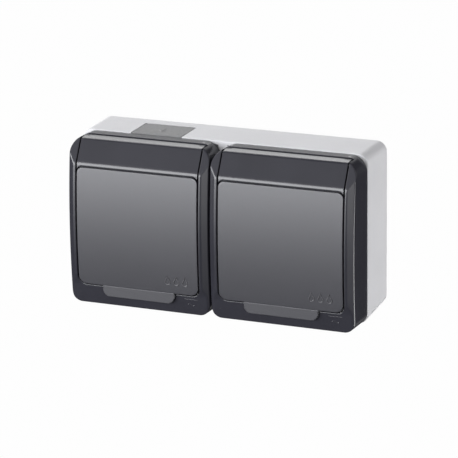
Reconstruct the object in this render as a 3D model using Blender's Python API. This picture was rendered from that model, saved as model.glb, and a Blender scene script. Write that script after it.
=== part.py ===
"""Splash-proof double socket outlet for surface mounting, with two spring-closed lids.

Frame: origin at the centre of the wall face, +Z up, the lids face -Y, +X to the right.
All driving dimensions are millimetres; meshes are made in metres.
Each of the two identical modules is modelled once about its own centre line and placed twice.
"""
import math

import bmesh
import bpy
from mathutils import Matrix, Vector

MM = 0.001
GAP = 0.3                      # clearance between pieces that touch

# whole object
PITCH = 75.0                   # centre distance of the two modules
MODULES = {"left": -PITCH / 2, "right": PITCH / 2}

# surface box: wider at the wall than at the rim, with a sloping underside
BOX_WIDTH = 150.6
BOX_TOP = 42.8                 # height of the top face at the wall
BOX_BOTTOM = -38.2             # height of the underside at the wall
BOX_DEPTH = 24.4
BOX_DRAFT_X = 0.5              # how much each side wall leans in at the rim
BOX_DRAFT_TOP = 1.0            # how much the top leans in at the rim
BOX_DRAFT_BOTTOM = 3.6         # how far the underside drops from the wall to the rim
BOX_CORNER = 5.3
BOX_CORNER_LOW = 4.8
BOX_WALL = 2.3
BOX_FLOOR = 2.5
BOX_WEB = 2.4                  # half thickness of the web under the joint of the covers

# cable entry in the top wall, above the left module
ENTRY_X = -35.2
ENTRY_WIDTH = 26.7
ENTRY_BACK = -6.8
ENTRY_CORNER = 2.5
MEMBRANE_WIDTH = 31.0
MEMBRANE_THICK = 1.4

# cover frame of one module
COVER_WIDTH = 74.2
COVER_BOTTOM = -41.75
COVER_TOP = 41.4
COVER_CORNER = 8.0
COVER_CORNER_LOW = 5.5
COVER_REAR = -(BOX_DEPTH + GAP)
COVER_WALL = 2.2
CROWN_PEAK = 44.2              # distance from the wall to the top of the crowned face
CROWN_CENTRE = -5.35           # height of the crown's ridge
CROWN_FALL = 0.001364          # fall of the face per square millimetre from the ridge
EDGE_LAND = 34.0               # half width of the flat land beside the lid
EDGE_DROP = 2.0                # how far the outer edge lies behind the land
BAR_RECESS = 1.25              # bottom bar behind the crowned face
DECK_FRONT = -35.4
DECK_THICK = 2.0
OPENING_HALF = 32.65
OPENING_BOTTOM = -32.2
OPENING_CORNER = 4.5
POCKET_BOTTOM = 34.6
RIM_FRONT = -30.2              # front edge of the rear rim above the hinge
RIM_THICK = 1.6
REBATE = 1.3                   # land left outside the gasket's rebate
REBATE_DEPTH = 1.1
BOSS_RADIUS = 3.6              # screw posts and bosses

# lid of one module
LID_HALF = 32.0
LID_BOTTOM = -31.6
LID_CORNER = 4.0
STRIP_BACK = (-31.9, 40.95)    # (y, z) of the rear edge of the lid's top strip
BAND_TOP = (-36.65, 40.2)      # (y, z) of the slanted band's upper edge
BAND_BOTTOM = (-42.6, 28.7)    # (y, z) of the slanted band's lower edge
HINGE_Y = -33.6
HINGE_Z = 38.4
KNUCKLE_RADIUS = 2.2
PIN_RADIUS = 0.8
PIN_BORE = 1.1
PIN_HALF = 33.9
SPRING_HALF = 7.0
SPRING_RADIUS = 1.45
SPRING_BORE = 1.75
PANEL_TOP = 27.0
PANEL_CORNER = 3.0
PANEL_BACK = -41.4
TRAY_FRONT = -41.1
TRAY_BACK = -39.7
TAB_HALF = 19.2
TAB_BOTTOM = -37.05
TAB_FRONT = -43.25
TAB_BACK = -42.35
TAB_CORNER = 3.7

# socket insert and mechanism of one module
FACE_RADIUS = 25.5
FACE_FRONT = -37.2
WELL_RADIUS = 21.75
WELL_OUTER = 23.4
WELL_FLOOR = -20.4
FLOOR_THICK = 1.6
PIN_SPACING = 19.0
PIN_HOLE = 2.6
EARTH_RADIUS = 2.4
EARTH_Z = 10.0
EARTH_REACH = 14.0             # how far the earth pin stands out of the well's floor
BASE_HALF = 23.0
BASE_FRONT = WELL_FLOOR + FLOOR_THICK + GAP
BASE_BACK = -6.0
SHUTTER_DEPTH = 3.2            # depth of the shutter's channel in the base
CONTACT_WALL = 1.5             # base wall between shutter channel and contacts
CONTACT_BACK = -7.8
TERMINAL_REACH = 17.5          # terminal screws' distance from the module's centre
BASE_SCREW = 17.0
COVER_SCREW = 24.6
WIRE_RADIUS = 1.1
WIRE_Y = -4.3

COLOURS = {
    "light_grey": ((0.62, 0.62, 0.64, 1), 0.45, 0.0),
    "mid_grey": ((0.30, 0.31, 0.31, 1), 0.5, 0.0),
    "graphite": ((0.035, 0.036, 0.042, 1), 0.3, 0.0),
    "satin_grey": ((0.11, 0.11, 0.12, 1), 0.35, 0.2),
    "black_rubber": ((0.02, 0.02, 0.02, 1), 0.7, 0.0),
    "insert_black": ((0.03, 0.03, 0.035, 1), 0.35, 0.0),
    "white_plastic": ((0.8, 0.8, 0.78, 1), 0.5, 0.0),
    "brass": ((0.75, 0.55, 0.25, 1), 0.3, 1.0),
    "steel": ((0.6, 0.6, 0.62, 1), 0.3, 1.0),
    "blue_pvc": ((0.03, 0.12, 0.5, 1), 0.4, 0.0),
    "brown_pvc": ((0.2, 0.08, 0.03, 1), 0.4, 0.0),
    "green_pvc": ((0.1, 0.4, 0.08, 1), 0.4, 0.0),
}


# ---------------------------------------------------------------- outlines and solids

def arc(centre_u, centre_v, radius, start, end, steps):
    """Points on an arc, angles in degrees."""
    points = []
    for i in range(steps + 1):
        angle = math.radians(start + (end - start) * i / steps)
        points.append((centre_u + radius * math.cos(angle), centre_v + radius * math.sin(angle)))
    return points


def rounded(u0, u1, v0, v1, low_radius, high_radius, steps=6):
    """Rectangle outline whose corners have one radius at the low side and another at the high."""
    low, high = low_radius, high_radius
    points = arc(u1 - low, v0 + low, low, -90, 0, steps) if low else [(u1, v0)]
    points += arc(u1 - high, v1 - high, high, 0, 90, steps) if high else [(u1, v1)]
    points += arc(u0 + high, v1 - high, high, 90, 180, steps) if high else [(u0, v1)]
    points += arc(u0 + low, v0 + low, low, 180, 270, steps) if low else [(u0, v0)]
    return points


def loft(sections):
    """Closed solid through sections with the same number of points, each a list of (x, y, z)."""
    bm = bmesh.new()
    rings = [[bm.verts.new(Vector(p) * MM) for p in section] for section in sections]
    count = len(rings[0])
    for low, high in zip(rings, rings[1:]):
        for i in range(count):
            j = (i + 1) % count
            bm.faces.new((low[i], low[j], high[j], high[i]))
    bm.faces.new(rings[0][::-1])
    bm.faces.new(rings[-1])
    bmesh.ops.recalc_face_normals(bm, faces=bm.faces)
    return bm


def prism(outline, y0, y1):
    """Outline of (x, z) points run along Y."""
    return loft([[(x, y, z) for x, z in outline] for y in (y0, y1)])


def slab(profile, x0, x1):
    """Profile of (y, z) points run along X."""
    return loft([[(x, y, z) for y, z in profile] for x in (x0, x1)])


def block(x0, x1, y0, y1, z0, z1):
    return prism([(x0, z0), (x1, z0), (x1, z1), (x0, z1)], y0, y1)


def disc(radius, y0, y1, x=0.0, z=0.0, steps=24):
    """Cylinder along Y."""
    return prism(arc(x, z, radius, 0, 360 - 360 / steps, steps - 1), y0, y1)


def rod(radius, x0, x1, y, z, steps=16):
    """Cylinder along X."""
    return slab(arc(y, z, radius, 0, 360 - 360 / steps, steps - 1), x0, x1)


def crown(z):
    """Distance from the wall to the crowned face at a height."""
    return CROWN_PEAK - CROWN_FALL * (z - CROWN_CENTRE) ** 2


def scratch(bm, name):
    mesh = bpy.data.meshes.new(name)
    bm.to_mesh(mesh)
    bm.free()
    obj = bpy.data.objects.new(name, mesh)
    bpy.context.collection.objects.link(obj)
    return obj


def solid(base, adds=(), cuts=(), keeps=()):
    """One closed mesh: the base with pieces joined on, limited to others, and cut by others."""
    body = scratch(base, "body")
    helpers = []
    steps = [("UNION", bm) for bm in adds]
    steps += [("INTERSECT", bm) for bm in keeps]
    steps += [("DIFFERENCE", bm) for bm in cuts]
    for operation, bm in steps:
        helper = scratch(bm, "helper")
        helper.hide_render = True
        helper.display_type = "WIRE"
        helpers.append(helper)
        modifier = body.modifiers.new(operation.lower(), "BOOLEAN")
        modifier.operation = operation
        modifier.solver = "EXACT"
        modifier.object = helper
    graph = bpy.context.evaluated_depsgraph_get()
    mesh = bpy.data.meshes.new_from_object(body.evaluated_get(graph))
    for obj in [body] + helpers:
        bpy.data.objects.remove(obj, do_unlink=True)
    return mesh


# ---------------------------------------------------------------- materials and placing

def material(name):
    existing = bpy.data.materials.get(name)
    if existing:
        return existing
    colour, roughness, metallic = COLOURS[name]
    made = bpy.data.materials.new(name)
    made.use_nodes = True
    made.diffuse_color = colour
    shader = made.node_tree.nodes["Principled BSDF"]
    shader.inputs["Base Color"].default_value = colour
    shader.inputs["Roughness"].default_value = roughness
    shader.inputs["Metallic"].default_value = metallic
    return made


def place(name, mesh, finish, parent=None, origin=(0.0, 0.0, 0.0)):
    """Object named as its node; its mesh is moved so that the object's origin lies at origin."""
    own = mesh.copy()
    own.name = name
    own.transform(Matrix.Translation(-Vector(origin) * MM))
    own.materials.clear()
    own.materials.append(material(finish))
    own.shade_smooth()
    own.set_sharp_from_angle(angle=math.radians(35))
    obj = bpy.data.objects.new(name, own)
    bpy.context.collection.objects.link(obj)
    if parent:
        obj.parent = parent
    else:
        obj.location = Vector(origin) * MM
    return obj


def empty(name, location, parent=None):
    obj = bpy.data.objects.new(name, None)
    bpy.context.collection.objects.link(obj)
    obj.location = Vector(location) * MM
    obj.parent = parent
    return obj


# ---------------------------------------------------------------- surface box

def top_surface(y):
    """Height of the box's top face at depth y."""
    return BOX_TOP + BOX_DRAFT_TOP * y / BOX_DEPTH


def underside(y):
    """Height of the box's underside at depth y."""
    return BOX_BOTTOM + BOX_DRAFT_BOTTOM * y / BOX_DEPTH


def web_section(y):
    """Outline of the centre web at depth y, ending inside the top and bottom walls."""
    low, high = underside(y) + BOX_WALL / 2, top_surface(y) - BOX_WALL / 2
    return [(-BOX_WEB, y, low), (BOX_WEB, y, low), (BOX_WEB, y, high), (-BOX_WEB, y, high)]


def box_outline(inset, y):
    """Outline of the box at depth y, drawn in from the outside by inset."""
    lean = -y / BOX_DEPTH
    half_x = BOX_WIDTH / 2 - BOX_DRAFT_X * lean - inset
    low, high = underside(y) + inset, top_surface(y) - inset
    outline = rounded(-half_x, half_x, low, high, BOX_CORNER_LOW - inset, BOX_CORNER - inset)
    return [(x, y, z) for x, z in outline]


def cover_screw_places():
    return [(-COVER_SCREW, COVER_SCREW), (COVER_SCREW, -COVER_SCREW)]


def base_screw_places():
    return [(-BASE_SCREW, -BASE_SCREW), (BASE_SCREW, -BASE_SCREW)]


def base_box():
    shell = loft([box_outline(0, 0), box_outline(0, -BOX_DEPTH)])
    cavity = loft([box_outline(BOX_WALL, -BOX_FLOOR), box_outline(BOX_WALL, -BOX_DEPTH - 1)])
    web = loft([web_section(-BOX_FLOOR + 0.5), web_section(-BOX_DEPTH)])
    hollow = solid(shell, cuts=[cavity])
    bm = bmesh.new()
    bm.from_mesh(hollow)
    posts, bores = [], []
    for centre in MODULES.values():
        for x, z in cover_screw_places():
            posts.append(disc(BOSS_RADIUS, -BOX_FLOOR + 0.5, -BOX_DEPTH - 0.2, centre + x, z, 16))
            bores.append(disc(1.75, -5.0, -BOX_DEPTH - 1, centre + x, z, 12))
        for x, z in base_screw_places():
            posts.append(disc(BOSS_RADIUS, -BOX_FLOOR + 0.5, BASE_BACK + GAP, centre + x, z, 16))
            bores.append(disc(1.7, -3.0, BASE_BACK - 1, centre + x, z, 12))
    half = ENTRY_WIDTH / 2 + GAP
    notch = [
        (ENTRY_X - half, ENTRY_BACK + GAP),
        (ENTRY_X + half, ENTRY_BACK + GAP),
        (ENTRY_X + half, -BOX_DEPTH - 1),
        (ENTRY_X - half, -BOX_DEPTH - 1),
    ]
    slot = loft([[(x, y, z) for x, y in notch] for z in (36.0, 46.0)])
    wire_window = block(-BOX_WEB - 1, BOX_WEB + 1, -BOX_FLOOR - 0.3, -7.0, -6.0, 18.0)
    return solid(bm, adds=[web] + posts, cuts=bores + [slot, wire_window])


def cable_entry_plate():
    """Tile that closes the entry, level with the box's top face."""
    half = ENTRY_WIDTH / 2
    front = -BOX_DEPTH + 0.1
    outline = arc(ENTRY_X + half - ENTRY_CORNER, ENTRY_BACK - ENTRY_CORNER, ENTRY_CORNER, 0, 90, 5)
    outline += arc(ENTRY_X - half + ENTRY_CORNER, ENTRY_BACK - ENTRY_CORNER, ENTRY_CORNER, 90, 180, 5)
    outline += [(ENTRY_X - half, front), (ENTRY_X + half, front)]
    lower = [(x, y, top_surface(y) - BOX_WALL) for x, y in outline]
    upper = [(x, y, top_surface(y)) for x, y in outline]
    return solid(loft([lower, upper]))


def cable_entry_seal():
    """Rubber strip under the tile, wider than the notch."""
    half = MEMBRANE_WIDTH / 2
    corners = [(ENTRY_X - half, ENTRY_BACK + 2.0), (ENTRY_X + half, ENTRY_BACK + 2.0)]
    corners += [(ENTRY_X + half, -BOX_DEPTH + 0.5), (ENTRY_X - half, -BOX_DEPTH + 0.5)]
    drop = BOX_WALL + GAP + 0.1
    upper = [(x, y, top_surface(y) - drop) for x, y in corners]
    lower = [(x, y, z - MEMBRANE_THICK) for x, y, z in upper]
    return solid(loft([lower, upper]))


def link_wire(x0, x1, z):
    """Insulated wire run along the back of the box with both ends turned forward."""
    reach = -(CONTACT_BACK + GAP) + WIRE_Y
    run = rod(WIRE_RADIUS, x0 - WIRE_RADIUS, x1 + WIRE_RADIUS, WIRE_Y, z, 10)
    ends = [disc(WIRE_RADIUS * 0.85, WIRE_Y, WIRE_Y - reach, x, z, 10) for x in (x0, x1)]
    return solid(run, adds=ends)


# ---------------------------------------------------------------- cover frame

def cover_section(z):
    """Outline of the cover in plan at one height: crowned face, lands and chamfered edges."""
    half = COVER_WIDTH / 2
    face = -crown(z)
    edge = face + EDGE_DROP
    return [
        (-half, COVER_REAR, z), (-half, edge, z), (-EDGE_LAND, face, z),
        (EDGE_LAND, face, z), (half, edge, z), (half, COVER_REAR, z),
    ]


def band_wedge(x0, x1):
    """Everything in front of the slanted band plane, from the band's lower edge upwards."""
    (ty, tz), (by, bz) = BAND_TOP, BAND_BOTTOM
    run = (ty - by) / (tz - bz)
    reach = 6.0
    low = (by - run * reach, bz - reach)
    high = (ty + run * reach, tz + reach)
    return slab([low, (-60.0, low[1]), (-60.0, high[1]), high], x0, x1)


def cover_outline(inset, steps=6):
    """Outline of the cover drawn in from its outside."""
    half = COVER_WIDTH / 2 - inset
    low, high = COVER_CORNER_LOW - inset, COVER_CORNER - inset
    return rounded(-half, half, COVER_BOTTOM + inset, COVER_TOP - inset, low, high, steps)


def cover():
    stations = 12
    rise = (COVER_TOP - COVER_BOTTOM) / stations
    body = loft([cover_section(COVER_BOTTOM + rise * i) for i in range(stations + 1)])
    outline = prism(cover_outline(0.0, 8), COVER_REAR, -50.0)
    inner_x = COVER_WIDTH / 2 - COVER_WALL
    inner_low, inner_high = COVER_BOTTOM + COVER_WALL, COVER_TOP - COVER_WALL
    inner_corner = COVER_CORNER - COVER_WALL
    deck_back = DECK_FRONT + DECK_THICK
    lower_cavity = prism(rounded(-inner_x, inner_x, inner_low, POCKET_BOTTOM - RIM_THICK,
                                 inner_corner, 0), COVER_REAR + 1, deck_back)
    upper_cavity = prism(rounded(-inner_x, inner_x, POCKET_BOTTOM - 2.0, inner_high, 0,
                                 inner_corner), COVER_REAR + 1, RIM_FRONT + RIM_THICK)
    rebate = prism(cover_outline(REBATE), COVER_REAR + 1, COVER_REAR - REBATE_DEPTH)
    bar_hollow = block(-29, 29, deck_back + 0.1, -39.2, inner_low, OPENING_BOTTOM - 2)
    opening = prism(rounded(-OPENING_HALF, OPENING_HALF, OPENING_BOTTOM, 50, OPENING_CORNER, 0),
                    DECK_FRONT, -60.0)
    hinge_pocket = block(-OPENING_HALF, OPENING_HALF, RIM_FRONT, -60.0, POCKET_BOTTOM, 50)
    deck_hole = disc(WELL_OUTER + 0.6, deck_back + 1, DECK_FRONT - 1, steps=32)
    pin_bore = rod(PIN_BORE, -PIN_HALF - GAP, PIN_HALF + GAP, HINGE_Y, HINGE_Z, 12)
    bar_step = slab([(-(crown(-32) - BAR_RECESS), OPENING_BOTTOM + 0.5),
                     (-(crown(-42) - BAR_RECESS), -42.0),
                     (-60.0, -42.0), (-60.0, OPENING_BOTTOM + 0.5)], -EDGE_LAND, EDGE_LAND)
    bosses, holes = [], []
    for x, z in cover_screw_places():
        bosses.append(disc(BOSS_RADIUS, -BOX_DEPTH - GAP - 0.4, deck_back - 0.5, x, z, 16))
        holes.append(disc(1.8, COVER_REAR + 2, DECK_FRONT - 1, x, z, 12))
    bm = bmesh.new()
    bm.from_mesh(solid(body, keeps=[outline],
                       cuts=[band_wedge(-50, 50), lower_cavity, upper_cavity, rebate, bar_hollow]))
    return solid(bm, adds=bosses,
                 cuts=[opening, hinge_pocket, deck_hole, pin_bore, bar_step] + holes)


def cover_gasket():
    """Flat ring between the cover's rebate and the rim of the box."""
    ring = prism(cover_outline(REBATE + GAP), COVER_REAR, COVER_REAR + GAP - REBATE_DEPTH)
    hole = prism(cover_outline(COVER_WALL), COVER_REAR + 1, COVER_REAR - 2)
    return solid(ring, cuts=[hole])


def cover_screw(x, z):
    head_back = DECK_FRONT - GAP
    head = disc(2.8, head_back, head_back - 1.6, x, z, 20)
    shank = disc(1.45, head_back - 0.2, -8.0, x, z, 12)
    recess = cross_recess(x, z, head_back - 1.6, 3.0)
    return solid(head, adds=[shank], cuts=recess)


def cross_recess(x, z, top, span):
    """Two crossed slots for a screwdriver, sunk from the head's top."""
    half, width = span / 2, 0.35
    return [
        block(x - half, x + half, top + 0.8, top - 1, z - width, z + width),
        block(x - width, x + width, top + 0.8, top - 1, z - half, z + half),
    ]


# ---------------------------------------------------------------- lid

def lid():
    """Hinge knuckle, slanted band and the tray that carries the panel."""
    (ty, tz), (by, bz) = BAND_TOP, BAND_BOTTOM
    band = slab([
        STRIP_BACK, (ty, tz), (by, bz), (by + 0.5, bz - 0.7),
        (TRAY_BACK, bz - 0.7), (TRAY_BACK, bz + 1.2), (ty + 1.5, tz - 2.6),
        (HINGE_Y, HINGE_Z - 0.9),
    ], -LID_HALF, LID_HALF)
    knuckle = rod(KNUCKLE_RADIUS, -LID_HALF, LID_HALF, HINGE_Y, HINGE_Z, 28)
    tray_half = LID_HALF - 0.3
    tray = prism(rounded(-tray_half, tray_half, LID_BOTTOM + 0.3, bz, LID_CORNER - 0.3, 0),
                 TRAY_BACK, TRAY_FRONT)
    bore = rod(PIN_BORE, -LID_HALF - 1, LID_HALF + 1, HINGE_Y, HINGE_Z, 12)
    spring_bore = rod(SPRING_BORE, -SPRING_HALF, SPRING_HALF, HINGE_Y, HINGE_Z, 16)
    leg_slot = block(-SPRING_HALF, SPRING_HALF, HINGE_Y - 0.4, HINGE_Y + 4, HINGE_Z - 4,
                     HINGE_Z + 0.3)
    return solid(band, adds=[knuckle, tray], cuts=[bore, spring_bore, leg_slot])


def lid_panel():
    """Crowned satin panel with the finger tab below its lower edge."""
    stations = 10
    rows = []
    for i in range(stations + 1):
        z = LID_BOTTOM + (PANEL_TOP - LID_BOTTOM) * i / stations
        rows.append([(-LID_HALF, PANEL_BACK, z), (-LID_HALF, -crown(z), z),
                     (LID_HALF, -crown(z), z), (LID_HALF, PANEL_BACK, z)])
    outline = prism(rounded(-LID_HALF, LID_HALF, LID_BOTTOM, PANEL_TOP, LID_CORNER, PANEL_CORNER),
                    PANEL_BACK, -50.0)
    bm = bmesh.new()
    bm.from_mesh(solid(loft(rows), keeps=[outline]))
    tab = prism(rounded(-TAB_HALF, TAB_HALF, TAB_BOTTOM, LID_BOTTOM + 1, TAB_CORNER, 0),
                TAB_BACK, TAB_FRONT)
    return solid(bm, adds=[tab])


def hinge_pin():
    return solid(rod(PIN_RADIUS, -PIN_HALF, PIN_HALF, HINGE_Y, HINGE_Z, 12))


def lid_spring():
    """Torsion spring round the pin, as the sleeve that its turns fill."""
    coil = rod(SPRING_RADIUS, -SPRING_HALF + 0.4, SPRING_HALF - 0.4, HINGE_Y, HINGE_Z, 16)
    bore = rod(PIN_BORE, -SPRING_HALF, SPRING_HALF, HINGE_Y, HINGE_Z, 12)
    return solid(coil, cuts=[bore])


def lid_gasket():
    """Square ring of rubber behind the lid's tray."""
    side, bottom, top, width = 31.0, LID_BOTTOM + 0.9, 29.4, 1.4
    ring = prism(rounded(-side, side, bottom, top, 4, 4), TRAY_BACK + GAP, DECK_FRONT - GAP)
    hole = prism(rounded(width - side, side - width, bottom + width, top - width, 3, 3),
                 TRAY_BACK - 1, DECK_FRONT + 1)
    return solid(ring, cuts=[hole])


# ---------------------------------------------------------------- socket insert and mechanism

def pin_places():
    return [(-PIN_SPACING / 2, 0.0), (PIN_SPACING / 2, 0.0)]


def socket_insert():
    """Face disc with the plug well behind it."""
    face = disc(FACE_RADIUS, DECK_FRONT - GAP, FACE_FRONT, steps=48)
    back = WELL_FLOOR + FLOOR_THICK
    tube = disc(WELL_OUTER, back, DECK_FRONT - GAP - 0.5, steps=48)
    well = disc(WELL_RADIUS, WELL_FLOOR, FACE_FRONT - 5, steps=48)
    cuts = [well, disc(1.8, back + 1, WELL_FLOOR - 1, steps=12)]
    cuts += [disc(PIN_HOLE, back + 1, WELL_FLOOR - 1, x, z, 16) for x, z in pin_places()]
    cuts.append(disc(EARTH_RADIUS + GAP, back + 1, WELL_FLOOR - 1, 0, EARTH_Z, 16))
    return solid(face, adds=[tube], cuts=cuts)


def insert_screw():
    head_back = WELL_FLOOR - GAP
    head = disc(3.2, head_back, head_back - 1.8, steps=20)
    shank = disc(1.45, head_back - 0.2, -7.0, steps=12)
    return solid(head, adds=[shank], cuts=cross_recess(0, 0, head_back - 1.8, 3.6))


def contact_front():
    return BASE_FRONT + SHUTTER_DEPTH + CONTACT_WALL


def contact_pocket(turn):
    """Pocket, open at the back, for one terminal block; turn is 0 right, 90 up, 180 left."""
    return turned(block(5.4, 21.0, contact_front(), BASE_BACK + 1, -3.3, 3.3), turn)


def turned(bm, turn):
    """Turn a solid about the module's centre line."""
    bmesh.ops.rotate(bm, verts=bm.verts, matrix=Matrix.Rotation(math.radians(-turn), 3, "Y"))
    return bm


def terminal_place(turn):
    angle = math.radians(turn)
    return TERMINAL_REACH * math.cos(angle), TERMINAL_REACH * math.sin(angle)


def mechanism_base():
    """Insulating block that holds contacts, shutter and screws."""
    body = prism(rounded(-BASE_HALF, BASE_HALF, -BASE_HALF, BASE_HALF, 6, 6), BASE_FRONT, BASE_BACK)
    channel = block(-14.2, 14.2, BASE_FRONT - 1, BASE_FRONT + SHUTTER_DEPTH, -11.5, 3.4)
    spring_channel = block(-2.0, 2.0, BASE_FRONT - 1, BASE_FRONT + SHUTTER_DEPTH, -14.4, -11.0)
    cuts = [channel, spring_channel, disc(1.8, BASE_FRONT - 1, BASE_BACK + 1, steps=12)]
    for turn in (0, 90, 180):
        x, z = terminal_place(turn)
        cuts.append(contact_pocket(turn))
        cuts.append(disc(2.9, BASE_FRONT - 1, contact_front() - 1.6, x, z, 16))
        cuts.append(disc(1.8, BASE_FRONT - 1, contact_front() + 1, x, z, 12))
    for x, z in pin_places() + [(0.0, EARTH_Z)]:
        cuts.append(disc(PIN_HOLE + 0.1, BASE_FRONT - 1, contact_front() + 1, x, z, 16))
    for x, z in base_screw_places():
        cuts.append(disc(3.1, BASE_FRONT - 1, BASE_FRONT + 3.0, x, z, 16))
        cuts.append(disc(1.8, BASE_FRONT - 1, BASE_BACK + 1, x, z, 12))
    return solid(body, cuts=cuts)


def contact(turn, pin_bore):
    """Terminal block of one pole with its screw hole, and the pin's bore where it has one."""
    front = contact_front() + GAP
    body = block(5.7, 20.7, front, CONTACT_BACK, -3.0, 3.0)
    cuts = [disc(1.7, front - 1, CONTACT_BACK + 1, TERMINAL_REACH, 0, 12)]
    if pin_bore:
        cuts.append(disc(2.45, front - 1, CONTACT_BACK + 1, PIN_SPACING / 2, 0, 16))
    return turned_mesh(solid(body, cuts=cuts), turn)


def turned_mesh(mesh, turn):
    mesh.transform(Matrix.Rotation(math.radians(-turn), 4, "Y"))
    return mesh


def earth_pin():
    """Earth terminal block with the earthing pin that stands in the well."""
    bm = bmesh.new()
    bm.from_mesh(contact(90, False))
    tip = WELL_FLOOR - EARTH_REACH
    shaft = loft([[(x, y, z) for x, z in arc(0, EARTH_Z, radius, 0, 345, 23)]
                  for radius, y in ((EARTH_RADIUS, -10.0), (EARTH_RADIUS, tip + 1.6),
                                    (1.9, tip + 0.5), (1.1, tip))])
    return solid(bm, adds=[shaft])


def terminal_screw(turn):
    x, z = terminal_place(turn)
    seat = contact_front() - 1.6 - GAP
    head = disc(2.5, seat, seat - 1.8, x, z, 16)
    shank = disc(1.4, seat - 0.2, -9.0, x, z, 12)
    return solid(head, adds=[shank], cuts=cross_recess(x, z, seat - 1.8, 2.6))


def base_screw(x, z):
    seat = BASE_FRONT + 3.0 - GAP
    head = disc(2.7, seat, seat - 1.7, x, z, 16)
    shank = disc(1.4, seat - 0.2, -3.4, x, z, 12)
    return solid(head, adds=[shank], cuts=cross_recess(x, z, seat - 1.7, 2.8))


def shutter():
    """Sliding plate with a blade in front of each live contact, slotted round the centre screw."""
    front, back = BASE_FRONT + GAP, BASE_FRONT + SHUTTER_DEPTH - GAP
    plate = block(-13.8, 13.8, front, back, -5.4, 3.0)
    slot = block(-2.4, 2.4, front - 1, back + 1, -3.0, 5.0)
    ramp = slab([(front - 1, 0.6), (front - 1, 4.0), (back + 0.2, 4.0)], -20, 20)
    return solid(plate, cuts=[slot, ramp])


def shutter_spring():
    """Compression spring under the shutter, as the sleeve that its turns fill."""
    y = BASE_FRONT + SHUTTER_DEPTH / 2
    sections = [[(px, y + py, z) for px, py in arc(0, 0, 1.25, 0, 330, 11)] for z in (-14.1, -5.7)]
    bore = [[(px, y + py, z) for px, py in arc(0, 0, 0.8, 0, 330, 11)] for z in (-15.0, -5.0)]
    return solid(loft(sections), cuts=[loft(bore)])


# ---------------------------------------------------------------- assembly

def module_pieces():
    """(suffix, mesh, finish, what it moves with) for each piece of one module."""
    pieces = [
        ("cover", cover(), "graphite", "module"),
        ("cover_gasket", cover_gasket(), "black_rubber", "module"),
        ("hinge_pin", hinge_pin(), "steel", "module"),
        ("lid_spring", lid_spring(), "steel", "module"),
        ("lid", lid(), "graphite", "lid"),
        ("lid_panel", lid_panel(), "satin_grey", "lid"),
        ("lid_gasket", lid_gasket(), "black_rubber", "lid"),
        ("socket_insert", socket_insert(), "insert_black", "module"),
        ("insert_screw", insert_screw(), "steel", "module"),
        ("mechanism_base", mechanism_base(), "white_plastic", "module"),
        ("line_contact", contact(180, True), "brass", "module"),
        ("neutral_contact", contact(0, True), "brass", "module"),
        ("earth_pin", earth_pin(), "brass", "module"),
        ("line_terminal_screw", terminal_screw(180), "steel", "module"),
        ("neutral_terminal_screw", terminal_screw(0), "steel", "module"),
        ("earth_terminal_screw", terminal_screw(90), "steel", "module"),
        ("shutter", shutter(), "insert_black", "shutter"),
        ("shutter_spring", shutter_spring(), "steel", "module"),
    ]
    for word, (x, z) in zip(("upper", "lower"), cover_screw_places()):
        pieces.append((word + "_cover_screw", cover_screw(x, z), "steel", "module"))
    for word, (x, z) in zip(("first", "second"), base_screw_places()):
        pieces.append((word + "_base_screw", base_screw(x, z), "steel", "module"))
    return pieces


def assemble():
    place("base_box", base_box(), "light_grey")
    place("cable_entry_plate", cable_entry_plate(), "mid_grey")
    place("cable_entry_seal", cable_entry_seal(), "black_rubber")
    left, right = MODULES["left"], MODULES["right"]
    reach = TERMINAL_REACH
    place("line_link_wire", link_wire(left - reach, right - reach, -1.8), "brown_pvc")
    place("neutral_link_wire", link_wire(left + reach, right + reach, 1.8), "blue_pvc")
    place("earth_link_wire", link_wire(left, right, 14.0), "green_pvc")
    pieces = module_pieces()
    for side, centre in MODULES.items():
        frames = {"module": empty(side + "_module_frame", (centre, 0, 0))}
        frames["lid"] = empty(side + "_lid_axis", (0, HINGE_Y, HINGE_Z), frames["module"])
        frames["shutter"] = empty(side + "_shutter_rest", (0, 0, 0), frames["module"])
        for suffix, mesh, finish, moves_with in pieces:
            origin = (0, HINGE_Y, HINGE_Z) if moves_with == "lid" else (0, 0, 0)
            place(side + "_" + suffix, mesh, finish, frames[moves_with], origin)


for old in list(bpy.data.objects):
    bpy.data.objects.remove(old, do_unlink=True)
assemble()
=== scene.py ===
"""Looks of a splash-proof double socket outlet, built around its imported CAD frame.

Lengths are millimetres in the part's frame (wall plane at y = 0, lids facing -y, +z up);
meshes are made in metres. One module is modelled about its own centre line and placed twice.
"""
import math

import bmesh
import bpy
from mathutils import Matrix, Vector


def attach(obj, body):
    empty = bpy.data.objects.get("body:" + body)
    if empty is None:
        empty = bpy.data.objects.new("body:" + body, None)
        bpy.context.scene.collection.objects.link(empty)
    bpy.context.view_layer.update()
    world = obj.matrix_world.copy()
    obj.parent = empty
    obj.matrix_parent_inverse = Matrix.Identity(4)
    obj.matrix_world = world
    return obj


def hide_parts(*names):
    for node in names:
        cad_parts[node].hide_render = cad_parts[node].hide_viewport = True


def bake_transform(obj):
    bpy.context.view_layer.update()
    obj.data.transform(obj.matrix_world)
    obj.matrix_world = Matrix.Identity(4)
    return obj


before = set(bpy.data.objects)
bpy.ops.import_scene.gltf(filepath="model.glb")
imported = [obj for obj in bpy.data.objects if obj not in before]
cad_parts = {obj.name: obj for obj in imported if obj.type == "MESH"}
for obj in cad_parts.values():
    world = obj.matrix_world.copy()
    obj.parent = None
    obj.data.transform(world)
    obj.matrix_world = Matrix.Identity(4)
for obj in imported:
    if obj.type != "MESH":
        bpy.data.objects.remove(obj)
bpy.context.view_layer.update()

MM = 0.001
GAP = 0.3                      # between neighbouring solids
PITCH = 75.0
MODULES = {"left": -PITCH / 2, "right": PITCH / 2}

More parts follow.
